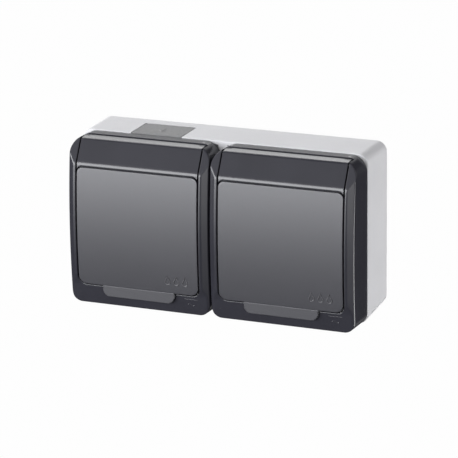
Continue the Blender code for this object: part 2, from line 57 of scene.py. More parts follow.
# surface box and its cable entry
BOX_HALF_X, BOX_BOTTOM, BOX_TOP, BOX_DEPTH = 75.3, -38.2, 42.8, 24.4
BOX_DRAFT_X, BOX_DRAFT_TOP, BOX_DRAFT_BOTTOM = 0.5, 1.0, 3.6
BOX_CORNERS, BOX_WALL, BOX_FLOOR = (4.8, 5.3), 2.3, 2.5
BOX_WEB, POST_BACK, POST_RADIUS = 2.4, -2.0, 3.6
ENTRY_X, ENTRY_HALF, ENTRY_BACK, ENTRY_CORNER = -35.2, 13.35, -6.8, 2.5

# cover frame
COVER_HALF_X, COVER_BOTTOM, COVER_TOP, COVER_CORNER = 37.1, -41.75, 41.4, 8.0
COVER_CORNER_LOW = 5.5
COVER_REAR, COVER_WALL = -24.7, 2.2
CROWN_PEAK, CROWN_CENTRE, CROWN_FALL = 44.195, -5.35, 0.001364
LAND_HALF, EDGE_DROP, BAR_RECESS = 33.8, 2.0, 1.25
DECK_FRONT, DECK_BACK, RIM_FRONT = -35.4, -33.4, -30.2
OPENING_HALF, OPENING_BOTTOM, OPENING_CORNER = 32.65, -32.2, 4.5
POCKET_BOTTOM, RIM_THICK = 34.6, 1.6
REBATE, REBATE_DEPTH = 1.3, 1.1
COVER_CREASE, TOP_CREASE = 0.25, 0.3       # width of the rounded creases in the front
BAR_STEP_TOP, BAR_STEP_HEIGHT = -27.5, 4.9

# lid
LID_HALF, LID_BOTTOM, LID_CORNER = 32.0, -31.6, 4.0
STRIP_BACK = (-31.9, 40.95)
BAND_TOP, BAND_BOTTOM = (-36.65, 40.2), (-42.6, 28.7)
HINGE_Y, HINGE_Z, KNUCKLE = -33.6, 38.4, 2.2
PIN_BORE, SPRING_BORE, SPRING_HALF = 1.1, 1.8, 7.0
ROLL_TOP, ROLL_LOW, UPRIGHT = 30.0, 27.9, 0.09     # where the band turns upright, and its slope
PANEL_TOP, PANEL_CORNER, PANEL_BACK = 27.0, 3.0, -41.4
TRAY_FRONT, TRAY_BACK = -41.1, -39.7
TAB_HALF, TAB_BOTTOM, TAB_FRONT, TAB_BACK, TAB_CORNER = 19.2, -37.05, -43.25, -42.35, 3.7

# socket insert
FACE_RADIUS, FACE_FRONT = 25.5, -37.2
WELL_RADIUS, WELL_OUTER, WELL_FLOOR, FLOOR_THICK = 21.75, 23.4, -20.4, 1.6
PIN_SPACING, PIN_HOLE, EARTH_RADIUS, EARTH_Z = 19.0, 2.6, 2.4, 10.0
COVER_SCREWS = ((-24.6, 24.6), (24.6, -24.6))
BASE_SCREWS = ((-17.0, -17.0), (17.0, -17.0))
SCREW_BORE = 1.8

# stage
CAMERA_AZIMUTH, CAMERA_ELEVATION, CAMERA_ROLL = 23.858, 15.731, -0.706
CAMERA_DISTANCE, CAMERA_LENS = 1.404636, 227.74
CAMERA_TARGET = (0.001752, -0.022, -0.002554)
FLOOR_HEIGHT, FLOOR_HALF = -0.25, 30.0


def new_object(name, data):
    obj = bpy.data.objects.new(name, data)
    bpy.context.scene.collection.objects.link(obj)
    return obj


# ---------------------------------------------------------------- meshes

def to_mesh(name, points, faces):
    """Closed mesh in metres, welded, with its normals outwards."""
    mesh = bpy.data.meshes.new(name)
    mesh.from_pydata([(x * MM, y * MM, z * MM) for x, y, z in points], [], faces)
    bm = bmesh.new()
    bm.from_mesh(mesh)
    bmesh.ops.remove_doubles(bm, verts=bm.verts, dist=2e-6)
    bmesh.ops.dissolve_degenerate(bm, edges=bm.edges, dist=1e-7)
    bmesh.ops.recalc_face_normals(bm, faces=bm.faces)
    bm.to_mesh(mesh)
    bm.free()
    return mesh


def skin(name, loops, closed=False):
    """Tube of faces through closed loops of points; its ends are capped unless it is a ring."""
    count = len(loops[0])
    points = [p for loop in loops for p in loop]
    faces = []
    pairs = list(zip(range(len(loops)), range(1, len(loops))))
    if closed:
        pairs.append((len(loops) - 1, 0))
    for a, b in pairs:
        for i in range(count):
            j = (i + 1) % count
            faces.append((a * count + i, a * count + j, b * count + j, b * count + i))
    if not closed:
        faces.append(tuple(reversed(range(count))))
        faces.append(tuple(range((len(loops) - 1) * count, len(loops) * count)))
    return to_mesh(name, points, faces)


def arc(cu, cv, radius, start, end, steps):
    """Points on an arc, angles in degrees."""
    turn = [math.radians(start + (end - start) * i / steps) for i in range(steps + 1)]
    return [(cu + radius * math.cos(t), cv + radius * math.sin(t)) for t in turn]


def mix(a, b, t):
    return a + (b - a) * t


def outline(box, radii, inset, counts):
    """Rectangle drawn in by inset; the number of points is the same for every inset."""
    u0, u1, v0, v1 = box[0] + inset, box[1] - inset, box[2] + inset, box[3] - inset
    low, high = (max(r - inset, 0.0) for r in radii)
    across, along, steps = counts
    corners = [(u1 - low, v0 + low, low, -90), (u1 - high, v1 - high, high, 0),
               (u0 + high, v1 - high, high, 90), (u0 + low, v0 + low, low, 180)]
    arcs = [arc(cu, cv, r, a, a + 90, steps) for cu, cv, r, a in corners]
    points = []
    for i, count in enumerate((along, across, along, across)):
        points += arcs[i]
        (au, av), (bu, bv) = arcs[i][-1], arcs[(i + 1) % 4][0]
        points += [(mix(au, bu, k / count), mix(av, bv, k / count)) for k in range(1, count)]
    return points


def straight(u, v, y):
    return u, y, v


def plate(name, box, radii, back, depth, edge, counts, insets=(), place=straight, back_edge=0.0):
    """Closed plate with rounded edges. depth(u, v) is its front's distance from the wall."""
    loops = []

    def add(inset, below=None, y=None):
        ring = []
        for u, v in outline(box, radii, inset, counts):
            ring.append(place(u, v, y if below is None else -(depth(u, v) - below)))
        loops.append(ring)

    if back_edge:
        add(back_edge, y=back)
        add(back_edge * 0.3, y=back - back_edge * 0.3)
        add(0.0, y=back - back_edge)
    else:
        add(0.0, y=back)
    steps = 6
    for k in range(steps + 1):
        t = math.radians(90 * k / steps)
        add(edge * (1 - math.cos(t)), below=edge * (1 - math.sin(t)))
    deepest = max(max(radii), edge)
    for inset in sorted(set(tuple(insets) + (deepest,))):
        if edge < inset <= deepest:
            add(inset, below=0.0)
    count = len(loops[0])
    points = [p for loop in loops for p in loop]
    faces = [tuple(reversed(range(count)))]
    for a in range(len(loops) - 1):
        for i in range(count):
            j = (i + 1) % count
            faces.append((a * count + i, a * count + j, (a + 1) * count + j, (a + 1) * count + i))
    across, along, _ = counts
    u0, u1, v0, v1 = box[0] + deepest, box[1] - deepest, box[2] + deepest, box[3] - deepest
    first = len(points)
    for i in range(across + 1):
        for j in range(along + 1):
            u, v = mix(u0, u1, i / across), mix(v0, v1, j / along)
            points.append(place(u, v, -depth(u, v)))
    for i in range(across):
        for j in range(along):
            a = first + i * (along + 1) + j
            faces.append((a, a + along + 1, a + along + 2, a + 1))
    return to_mesh(name, points, faces)


def prism(flat, y0, y1):
    """Outline of (x, z) points run along y, for use as a cutter."""
    return skin("prism", [[(x, y, z) for x, z in flat] for y in (y0, y1)])


def rounded(u0, u1, v0, v1, low, high, steps=8):
    return outline((u0, u1, v0, v1), (low, high), 0.0, (1, 1, steps))


def slab(profile, x0, x1):
    """Profile of (y, z) points run along x."""
    return skin("slab", [[(x, y, z) for y, z in profile] for x in (x0, x1)])


def block(x0, x1, y0, y1, z0, z1):
    return prism([(x0, z0), (x1, z0), (x1, z1), (x0, z1)], y0, y1)


def turned(name, profile, x=0.0, z=0.0, steps=96):
    """Closed solid turned about the line through (x, z) along y, from (radius, y) points."""
    points, faces = [], []
    rings = []
    for radius, y in profile:
        if radius < 1e-6:
            rings.append([len(points)] * steps)
            points.append((x, y, z))
            continue
        rings.append(list(range(len(points), len(points) + steps)))
        for k in range(steps):
            t = 2 * math.pi * k / steps
            points.append((x + radius * math.cos(t), y, z + radius * math.sin(t)))
    for a, b in zip(rings, rings[1:]):
        for k in range(steps):
            j = (k + 1) % steps
            face = []
            for index in (a[k], a[j], b[j], b[k]):
                if index not in face:
                    face.append(index)
            if len(face) > 2:
                faces.append(tuple(face))
    for ring in (rings[0], rings[-1]):
        if ring[0] != ring[1]:
            faces.append(tuple(ring))
    return to_mesh(name, points, faces)


def bore(radius, y0, y1, x=0.0, z=0.0, flare=0.0, steps=48):
    """Cutter for a hole from y0 (front) to y1, with a chamfered lip at the front."""
    if not flare:
        return turned("bore", [(radius, y0), (radius, y1)], x, z, steps)
    lip = y0 + 1.0
    return turned("bore", [(radius + flare + 0.2, y0), (radius + flare + 0.2, lip - 0.2),
                           (radius + flare, lip), (radius + flare * 0.3, lip + flare * 0.3),
                           (radius, lip + flare), (radius, y1)], x, z, steps)


def rod(radius, x0, x1, y, z, steps=48):
    return slab(arc(y, z, radius, 0, 360 - 360 / steps, steps - 1), x0, x1)


def tube(name, path, radius, sides=10, closed=False):
    """Round wire along a path of points, with its ends capped unless it is closed."""
    path = [Vector(p) for p in path]
    count = len(path)
    normal = None
    loops = []
    for i, point in enumerate(path):
        before = path[i - 1] if (i or closed) else point
        after = path[(i + 1) % count] if (closed or i < count - 1) else point
        along = (after - before).normalized()
        if normal is None:
            normal = along.orthogonal().normalized()
        normal = (normal - along * normal.dot(along)).normalized()
        side = along.cross(normal)
        ring = []
        for k in range(sides):
            t = 2 * math.pi * k / sides
            ring.append(tuple(point + (normal * math.cos(t) + side * math.sin(t)) * radius))
        loops.append(ring)
    return skin(name, loops, closed)


def combine(mesh, steps):
    """Applies (operation, mesh) steps with exact booleans and returns one mesh."""
    made = []

    def scratch(data):
        made.append(new_object("scratch", data))
        return made[-1]

    body = scratch(mesh)
    for operation, tool in steps:
        modifier = body.modifiers.new(operation, "BOOLEAN")
        modifier.operation = operation
        modifier.solver = "EXACT"
        modifier.object = scratch(tool)
    graph = bpy.context.evaluated_depsgraph_get()
    result = bpy.data.meshes.new_from_object(body.evaluated_get(graph))
    for obj in made:
        bpy.data.objects.remove(obj, do_unlink=True)
    bm = bmesh.new()
    bm.from_mesh(result)
    bmesh.ops.remove_doubles(bm, verts=bm.verts, dist=1e-6)
    bmesh.ops.dissolve_degenerate(bm, edges=bm.edges, dist=1e-7)
    bm.to_mesh(result)
    bm.free()
    return result


def cut(mesh, *tools):
    return combine(mesh, [("DIFFERENCE", tool) for tool in tools])


def join(mesh, *tools):
    return combine(mesh, [("UNION", tool) for tool in tools])


def gather(name, meshes):
    """Several separate solids as one mesh."""
    bm = bmesh.new()
    for mesh in meshes:
        bm.from_mesh(mesh)
    result = bpy.data.meshes.new(name)
    bm.to_mesh(result)
    bm.free()
    return result


# ---------------------------------------------------------------- surfaces of the cover and lid

def crown(z):
    """Distance from the wall to the crowned face at a height."""
    return CROWN_PEAK - CROWN_FALL * (z - CROWN_CENTRE) ** 2


def band_depth(z):
    """Distance from the wall to the slanted band's plane at a height."""
    (ty, tz), (by, bz) = BAND_TOP, BAND_BOTTOM
    return mix(-by, -ty, (z - bz) / (tz - bz))


def soft_min(a, b, width):
    """The smaller of two depths, with the crease between them rounded over."""
    reach = max(width - abs(a - b), 0.0) / width
    return min(a, b) - reach * reach * width / 4


def smooth(t):
    t = min(max(t, 0.0), 1.0)
    return t * t * (3 - 2 * t)


def cover_depth(x, z):
    """Front of the cover: crowned lands, chamfered sides, slanted top and recessed bottom bar."""
    face = crown(z)
    side = face - EDGE_DROP * (abs(x) - LAND_HALF) / (COVER_HALF_X - LAND_HALF)
    depth = soft_min(face, band_depth(z), TOP_CREASE)
    recess = BAR_RECESS * smooth((BAR_STEP_TOP - z) / BAR_STEP_HEIGHT)
    return soft_min(min(depth, face - recess), side, COVER_CREASE)


# ---------------------------------------------------------------- materials

# where pointiness marks a convex edge, and how strongly the lid's lacquer reflects
EDGE_FROM, EDGE_TO, LACQUER_SPECULAR = 0.53, 0.62, 0.74


def nodes_of(material):
    return material.node_tree.nodes, material.node_tree.links


def new_material(name, roughness, metallic=0.0, specular=0.5):
    """Material with its shader's uniform values set, and object coordinates to work from."""
    material = bpy.data.materials.new(name)
    material.use_nodes = True
    nodes = material.node_tree.nodes
    shader = nodes["Principled BSDF"]
    shader.inputs["Roughness"].default_value = roughness
    shader.inputs["Metallic"].default_value = metallic
    shader.inputs["Specular IOR Level"].default_value = specular
    where = nodes.new("ShaderNodeTexCoord")
    return material, shader, where.outputs["Object"]


def noise(material, where, scale, detail=3.0, roughness=0.5, stretch=None):
    nodes, links = nodes_of(material)
    texture = nodes.new("ShaderNodeTexNoise")
    texture.inputs["Scale"].default_value = scale
    texture.inputs["Detail"].default_value = detail
    texture.inputs["Roughness"].default_value = roughness
    if stretch:
        mapping = nodes.new("ShaderNodeMapping")
        mapping.inputs["Scale"].default_value = stretch
        links.new(where, mapping.inputs["Vector"])
        where = mapping.outputs["Vector"]
    links.new(where, texture.inputs["Vector"])
    return texture.outputs["Fac"]


def ramp(material, value, low, high, dark, light):
    """Colour that runs from dark to light as value goes from low to high."""
    nodes, links = nodes_of(material)
    made = nodes.new("ShaderNodeValToRGB")
    made.color_ramp.elements[0].position = low
    made.color_ramp.elements[1].position = high
    made.color_ramp.elements[0].color = (*dark, 1)
    made.color_ramp.elements[1].color = (*light, 1)
    links.new(value, made.inputs["Fac"])
    return made.outputs["Color"]


def spread(material, value, low, high):
    """A value from 0.3 to 0.7 spread over low to high."""
    nodes, links = nodes_of(material)
    made = nodes.new("ShaderNodeMapRange")
    made.inputs["From Min"].default_value = 0.3
    made.inputs["From Max"].default_value = 0.7
    made.inputs["To Min"].default_value = low
    made.inputs["To Max"].default_value = high
    links.new(value, made.inputs["Value"])
    return made.outputs["Result"]


def blended(material, first, second, factor, mode="MIX"):
    nodes, links = nodes_of(material)
    made = nodes.new("ShaderNodeMix")
    made.data_type = "RGBA"
    made.blend_type = mode
    links.new(factor, made.inputs[0])
    links.new(first, made.inputs[6])
    if isinstance(second, tuple):
        made.inputs[7].default_value = (*second, 1)
    else:
        links.new(second, made.inputs[7])
    return made.outputs[2]


def bumps(material, shader, heights):
    """Chains bumps of (height, strength, distance in mm) into the shader's normal."""
    nodes, links = nodes_of(material)
    previous = None
    for height, strength, distance in heights:
        bump = nodes.new("ShaderNodeBump")
        bump.inputs["Strength"].default_value = strength
        bump.inputs["Distance"].default_value = distance * MM
        links.new(height, bump.inputs["Height"])
        if previous:
            links.new(previous, bump.inputs["Normal"])
        previous = bump.outputs["Normal"]
    links.new(previous, shader.inputs["Normal"])


def edge_mask(material, high):
    """Where the surface turns a convex edge, from the geometry's pointiness."""
    nodes, links = nodes_of(material)
    geometry = nodes.new("ShaderNodeNewGeometry")
    made = nodes.new("ShaderNodeMapRange")
    made.inputs["From Min"].default_value = EDGE_FROM
    made.inputs["From Max"].default_value = high
    links.new(geometry.outputs["Pointiness"], made.inputs["Value"])
    return made.outputs["Result"]


def plastic(name, colour, roughness, grain=0.1, grain_scale=2600, variation=0.05, wear=0.12,
            specular=0.5, rough_spread=0.06):
    """Moulded plastic: spark-eroded grain, slow colour and gloss drift, edges rubbed paler."""
    material, shader, where = new_material(name, roughness, specular=specular)
    links = material.node_tree.links
    slow = noise(material, where, 45, 4)
    fine = noise(material, where, grain_scale, 2, 0.6)
    specks = noise(material, where, 900, 2, 0.4)
    dark = tuple(c * (1 - variation) for c in colour)
    light = tuple(min(c * (1 + variation), 1.0) for c in colour)
    base = ramp(material, slow, 0.35, 0.65, dark, light)
    rubbed = tuple(mix(c, 1.0, wear) for c in colour)
    base = blended(material, base, rubbed, edge_mask(material, EDGE_TO))
    links.new(base, shader.inputs["Base Color"])
    rough = spread(material, specks, roughness - rough_spread, roughness + rough_spread)
    links.new(rough, shader.inputs["Roughness"])
    bumps(material, shader, [(fine, grain, 0.06), (slow, 0.03, 0.25)])
    return material


def painted(name, colour, roughness, metallic):
    """Satin metallic lacquer: fine flakes, faint ripple, edges slightly burnished."""
    material, shader, where = new_material(name, roughness, metallic, LACQUER_SPECULAR)
    links = material.node_tree.links
    flake = noise(material, where, 5200, 1, 0.3)
    slow = noise(material, where, 35, 3)
    cloud = ramp(material, slow, 0.3, 0.7, tuple(c * 0.97 for c in colour),
                 tuple(c * 1.03 for c in colour))
    glitter = ramp(material, flake, 0.42, 0.66, tuple(c * 0.9 for c in colour),
                   tuple(min(c * 1.18, 1.0) for c in colour))
    half = noise(material, where, 2100, 0, 0.2)
    base = blended(material, cloud, glitter, half)
    burnished = tuple(mix(c, 1.0, 0.1) for c in colour)
    base = blended(material, base, burnished, edge_mask(material, EDGE_TO + 0.01))
    links.new(base, shader.inputs["Base Color"])
    links.new(spread(material, flake, roughness - 0.05, roughness + 0.05),
              shader.inputs["Roughness"])
    bumps(material, shader, [(flake, 0.03, 0.03), (slow, 0.03, 0.3)])
    return material


def rubber(name, colour):
    """Matt elastomer with a dusty bloom and fine pores."""
    material, shader, where = new_material(name, 0.72, specular=0.3)
    links = material.node_tree.links
    dust = noise(material, where, 160, 5, 0.65)
    pores = noise(material, where, 1800, 3, 0.7)
    base = ramp(material, dust, 0.35, 0.7, colour, tuple(c * 1.9 for c in colour))
    links.new(base, shader.inputs["Base Color"])
    links.new(spread(material, dust, 0.62, 0.82), shader.inputs["Roughness"])
    bumps(material, shader, [(pores, 0.25, 0.08), (dust, 0.1, 0.2)])
    return material


def metal(name, colour, roughness, stretch):
    """Turned or stamped metal: fine machining lines, dull patches and bright edges."""
    material, shader, where = new_material(name, roughness, 1.0)
    links = material.node_tree.links
    lines = noise(material, where, 900, 3, 0.6, stretch)
    stain = noise(material, where, 220, 4, 0.6)
    base = ramp(material, stain, 0.35, 0.7, tuple(c * 0.82 for c in colour), colour)
    bright = tuple(min(c * 1.15, 1.0) for c in colour)
    base = blended(material, base, bright, edge_mask(material, EDGE_TO + 0.03))
    links.new(base, shader.inputs["Base Color"])
    links.new(spread(material, stain, roughness - 0.06, roughness + 0.12),
              shader.inputs["Roughness"])
    bumps(material, shader, [(lines, 0.12, 0.05)])
    return material


def sleeve(name, colour, stripe=None):
    """Wire insulation: extruded PVC with faint draw lines, and a stripe on earth wires."""
    material, shader, where = new_material(name, 0.4)
    nodes, links = nodes_of(material)
    slow = noise(material, where, 180, 3)
    base = ramp(material, slow, 0.35, 0.65, tuple(c * 0.9 for c in colour), colour)
    if stripe:
        wave = nodes.new("ShaderNodeTexWave")
        wave.bands_direction = "Z"
        wave.inputs["Scale"].default_value = 230
        wave.inputs["Distortion"].default_value = 0.4
        links.new(where, wave.inputs["Vector"])
        band = ramp(material, wave.outputs["Fac"], 0.48, 0.52, (0, 0, 0), (1, 1, 1))
        base = blended(material, base, stripe, band)
    links.new(base, shader.inputs["Base Color"])
    draw = noise(material, where, 700, 2, 0.5, (0.05, 1, 1))
    links.new(spread(material, slow, 0.34, 0.48), shader.inputs["Roughness"])
    bumps(material, shader, [(draw, 0.12, 0.05)])
    return material


def make_materials():
    return {
        "box_light_grey": plastic("box_light_grey", (0.60, 0.60, 0.615), 0.46, 0.16, 2200, 0.02,
                                  0.1),
        "entry_grey": plastic("entry_grey", (0.165, 0.165, 0.168), 0.5, 0.2, 2200, 0.05, 0.1),
        "graphite": plastic("graphite", (0.024, 0.024, 0.031), 0.21, 0.012, 3200, 0.06, 0.02,
                            0.56, 0.02),
        "satin_grey": painted("satin_grey", (0.036, 0.036, 0.043), 0.35, 0.1),
        "black_rubber": rubber("black_rubber", (0.016, 0.016, 0.017)),
        "insert_black": plastic("insert_black", (0.022, 0.022, 0.025), 0.34, 0.1, 2600, 0.08,
                                0.03),
        "shutter_grey": plastic("shutter_grey", (0.1, 0.1, 0.105), 0.42, 0.12, 2600, 0.06, 0.05),
        "white_plastic": plastic("white_plastic", (0.74, 0.74, 0.71), 0.5, 0.12, 2200, 0.03, 0.1),
        "brass": metal("brass", (0.72, 0.52, 0.24), 0.28, (1, 0.06, 1)),
        "steel": metal("steel", (0.58, 0.58, 0.6), 0.27, (1, 1, 0.08)),
        "blue_pvc": sleeve("blue_pvc", (0.03, 0.12, 0.5)),
        "brown_pvc": sleeve("brown_pvc", (0.16, 0.06, 0.025)),
        "green_pvc": sleeve("green_pvc", (0.06, 0.34, 0.06), (0.72, 0.62, 0.04)),
    }


MATERIALS = make_materials()


# ---------------------------------------------------------------- placing

def finish_mesh(mesh, sharp=38):
    mesh.shade_smooth()
    mesh.set_sharp_from_angle(angle=math.radians(sharp))


def piece(name, mesh, slot, body, nodes=(), centre=0.0, sharp=38, weighted=True):
    """New piece in place of CAD nodes, riding on a body."""
    own = mesh.copy()
    own.name = name
    own.transform(Matrix.Translation((centre * MM, 0, 0)))
    own.materials.clear()
    own.materials.append(MATERIALS[slot])
    finish_mesh(own, sharp)
    obj = new_object(name, own)
    if weighted:
        modifier = obj.modifiers.new("even_normals", "WEIGHTED_NORMAL")
        modifier.keep_sharp = True
        modifier.weight = 60
    if body:
        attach(obj, body)
    if nodes:
        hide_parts(*nodes)
    return obj


def dress(node, slot, bevel=0.15):
    """CAD node kept as it is, with its edges broken and its finish on."""
    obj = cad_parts[node]
    obj.data.materials.clear()
    obj.data.materials.append(MATERIALS[slot])
    if bevel:
        modifier = obj.modifiers.new("broken_edges", "BEVEL")
        modifier.width = bevel * MM
        modifier.segments = 2
        modifier.limit_method = "ANGLE"
        modifier.angle_limit = math.radians(35)
        modifier.use_clamp_overlap = True
        modifier.harden_normals = True
    return obj


# ---------------------------------------------------------------- surface box

def leaning(u, v, y):
    """Places a point of the box with the draft of its walls."""
    lean = -y / BOX_DEPTH
    rise = BOX_DRAFT_BOTTOM / BOX_BOTTOM if v < 0 else BOX_DRAFT_TOP / BOX_TOP
    return u * (1 - BOX_DRAFT_X * lean / BOX_HALF_X), y, v * (1 - rise * lean)


def box_mesh():
    """Tray with drafted walls, screw posts, centre web, entry notch and knock-outs behind."""
    outer = (-BOX_HALF_X, BOX_HALF_X, BOX_BOTTOM, BOX_TOP)
    shell = plate("box", outer, BOX_CORNERS, 0.0, lambda u, v: BOX_DEPTH, 0.45,
                  (30, 16, 14), (2, 4, 6), leaning, 0.5)
    wall = BOX_WALL
    inner = (wall - BOX_HALF_X, BOX_HALF_X - wall, wall + BOX_BOTTOM, BOX_TOP - wall)
    radii = (BOX_CORNERS[0] - wall, BOX_CORNERS[1] - wall)
    rings = []
    for inset, y in ((1.2, -BOX_FLOOR), (0.35, -BOX_FLOOR - 0.35), (0.0, -BOX_FLOOR - 1.2),
                     (0.0, -BOX_DEPTH + 0.4), (-0.4, -BOX_DEPTH), (-0.4, -BOX_DEPTH - 2)):
        ring = outline(inner, radii, inset, (10, 6, 12))
        rings.append([leaning(u, v, y) for u, v in ring])
    hollow = cut(shell, skin("cavity", rings))
    solids, bores = [], []
    for centre in MODULES.values():
        for x, z in COVER_SCREWS:
            solids.append(turned("post", [(4.4, POST_BACK), (3.7, -4.0), (POST_RADIUS, -24.4),
                                          (POST_RADIUS - GAP, -24.6)],
                                 centre + x, z, 40))
            bores.append(bore(1.75, -25.5, -5.0, centre + x, z, 0.35, 32))
        for x, z in BASE_SCREWS:
            solids.append(turned("post", [(4.2, POST_BACK), (POST_RADIUS, -3.4),
                                          (POST_RADIUS, -5.5), (3.4, -5.7)],
                                 centre + x, z, 40))
            bores.append(bore(1.7, -6.6, -3.0, centre + x, z, 0.3, 32))
    web = []
    for y in (POST_BACK, -BOX_DEPTH):
        low, high = leaning(0, BOX_BOTTOM + 1, y)[2], top_surface(y) - 1
        web.append([(-BOX_WEB, y, low), (BOX_WEB, y, low), (BOX_WEB, y, high),
                    (-BOX_WEB, y, high)])
    web = skin("web", web)
    half = ENTRY_HALF + GAP
    notch = [(ENTRY_X - half, -6.5), (ENTRY_X + half, -6.5), (ENTRY_X + half, -26.0),
             (ENTRY_X - half, -26.0)]
    notch = skin("notch", [[(x, y, z) for x, y in notch] for z in (36.0, 46.0)])
    window = block(-BOX_WEB - 1, BOX_WEB + 1, -BOX_FLOOR - GAP, -7.0, -6.0, 18.0)
    knock_outs = []
    for centre in MODULES.values():
        for x, z, radius in ((0.0, 27.0, 8.0), (-29.0, -31.0, 3.2), (29.0, -31.0, 3.2),
                             (29.0, 31.0, 3.2)):
            knock_outs.append(ring_groove(radius, centre + x, z))
    return combine(hollow, [("UNION", web)] + [("UNION", s) for s in solids]
                   + [("DIFFERENCE", c) for c in bores + [notch, window] + knock_outs])


def ring_groove(radius, x, z):
    """Cutter for a thin groove round a knock-out on the wall side."""
    profile = [(radius - 0.3, 1.0), (radius - 0.3, -0.6), (radius + 0.3, -0.6), (radius + 0.3, 1.0)]
    rings = []
    for k in range(48):
        t = 2 * math.pi * k / 48
        rings.append([(x + r * math.cos(t), y, z + r * math.sin(t)) for r, y in profile])
    return skin("groove", rings, closed=True)


def top_surface(y):
    return BOX_TOP + BOX_DRAFT_TOP * y / BOX_DEPTH


def entry_mesh():
    """Tile in the notch, level with the top, with a raised arrow pointing at the cable's way in."""
    box = (ENTRY_X - ENTRY_HALF, ENTRY_X + ENTRY_HALF, -BOX_DEPTH + 0.1, ENTRY_BACK)

    def upright(u, v, w):
        return u, v, top_surface(v) - BOX_WALL - w

    tile = plate("entry", box, (0.6, ENTRY_CORNER), 0.0, lambda u, v: BOX_WALL - 0.03, 0.3,
                 (12, 8, 10), (), upright, 0.0)
    marks = []
    for path in (((0, -18.5), (0, -11.0)), ((-2.0, -16.2), (0, -18.5), (2.0, -16.2))):
        line = [(ENTRY_X + x, y, top_surface(y) - 0.12) for x, y in path]
        marks.append(tube("mark", line, 0.26, 8))
    return gather("entry", [tile] + marks)


# ---------------------------------------------------------------- cover frame

def lipped_opening():
    """Cutter for the opening: straight walls that flare into a rounded lip at the front."""
    box = (-OPENING_HALF, OPENING_HALF, OPENING_BOTTOM, 52.0)
    counts = (40, 90, 12)
    radii = (OPENING_CORNER, 0.0)
    lip = 0.42
    loops = []

    def ring(grow, below):
        points = []
        for (u, v), (ou, ov) in zip(outline(box, radii, -grow, counts),
                                    outline(box, radii, -lip, counts)):
            depth = cover_depth(ou, min(ov, COVER_TOP))
            points.append((u, -(depth - below), v))
        return points

    loops.append([(u, DECK_FRONT, v) for u, v in outline(box, radii, 0.0, counts)])
    steps = 5
    for k in range(steps + 1):
        t = math.radians(90 * k / steps)
        loops.append(ring(lip * (1 - math.cos(t)), lip * (1 - math.sin(t))))
    loops.append(ring(lip + 0.1, -0.02))
    loops.append([(u, -60.0, v) for u, v in outline(box, radii, -lip - 0.2, counts)])
    return skin("opening", loops)


def cover_mesh():
    box = (-COVER_HALF_X, COVER_HALF_X, COVER_BOTTOM, COVER_TOP)
    insets = [0.5 * k for k in range(1, 17)]
    body = plate("cover", box, (COVER_CORNER_LOW, COVER_CORNER), COVER_REAR, cover_depth, 0.5,
                 (56, 110, 16), insets, straight, 0.3)
    inner_x = COVER_HALF_X - COVER_WALL
    inner_low, inner_high = COVER_BOTTOM + COVER_WALL, COVER_TOP - COVER_WALL
    corner = COVER_CORNER - COVER_WALL
    lower = prism(rounded(-inner_x, inner_x, inner_low, POCKET_BOTTOM - RIM_THICK, corner, 0),
                  COVER_REAR + 1, DECK_BACK)
    upper = prism(rounded(-inner_x, inner_x, POCKET_BOTTOM - 2.0, inner_high, 0, corner),
                  COVER_REAR + 1, RIM_FRONT + RIM_THICK)
    rebate = prism(rounded(REBATE - COVER_HALF_X, COVER_HALF_X - REBATE, REBATE + COVER_BOTTOM,
                           COVER_TOP - REBATE, COVER_CORNER_LOW - REBATE, COVER_CORNER - REBATE),
                   COVER_REAR + 1, COVER_REAR - REBATE_DEPTH)
    bar_hollow = block(-29, 29, DECK_BACK + 0.1, -39.0, inner_low, OPENING_BOTTOM - 2)
    lip = 0.25
    rim = arc(RIM_FRONT + lip, COVER_TOP - lip, lip, 180, 90, 5)
    pocket = slab([(-60, POCKET_BOTTOM), (RIM_FRONT, POCKET_BOTTOM)] + rim
                  + [(RIM_FRONT + lip, 50), (-60, 50)], -OPENING_HALF, OPENING_HALF)
    hole = turned("hole", [(24.6, -37), (24.6, -35.5), (24.0, -34.9), (24.0, -31)], steps=96)
    pin = rod(PIN_BORE, -34.2, 34.2, HINGE_Y, HINGE_Z, 32)
    bosses = [turned("boss", [(POST_RADIUS, -25.1), (POST_RADIUS, DECK_BACK - 0.5)], x, z, 40)
              for x, z in COVER_SCREWS]
    bores = [bore(SCREW_BORE, -36.4, -22.5, x, z, 0.3, 32) for x, z in COVER_SCREWS]
    steps = [("DIFFERENCE", tool) for tool in (lipped_opening(), pocket, lower, upper, rebate,
                                               bar_hollow)]
    steps += [("UNION", boss) for boss in bosses]
    steps += [("DIFFERENCE", tool) for tool in [hole, pin] + bores]
    return combine(body, steps)


def wave_mark(x0, x1, z, depth, radius, swing):
    path = []
    for k in range(25):
        t = k / 24
        path.append((mix(x0, x1, t), -depth, z + swing * math.sin(2 * math.pi * t)))
    return tube("mark", path, radius, 8)


def bar_marks():
    """Raised line on the bottom bar with a wave below it, the usual sign for alternating current."""
    depth = crown(-34.0) - BAR_RECESS - 0.08
    low = crown(-36.8) - BAR_RECESS - 0.08
    line = tube("mark", [(24.0, -depth, -34.0), (31.0, -depth, -34.0)], 0.24, 8)
    return gather("bar_marks", [line, wave_mark(25.8, 29.2, -36.7, low, 0.2, 0.55)])


# ---------------------------------------------------------------- lid

def lower_edge(x):
    """Height of the band's lower edge, which follows the panel's rounded corners."""
    gap = 0.45
    beyond = abs(x) - (LID_HALF - PANEL_CORNER)
    if beyond <= 0:
        return PANEL_TOP + gap
    reach = PANEL_CORNER + gap
    return PANEL_TOP - PANEL_CORNER + math.sqrt(max(reach ** 2 - beyond ** 2, 0.0))


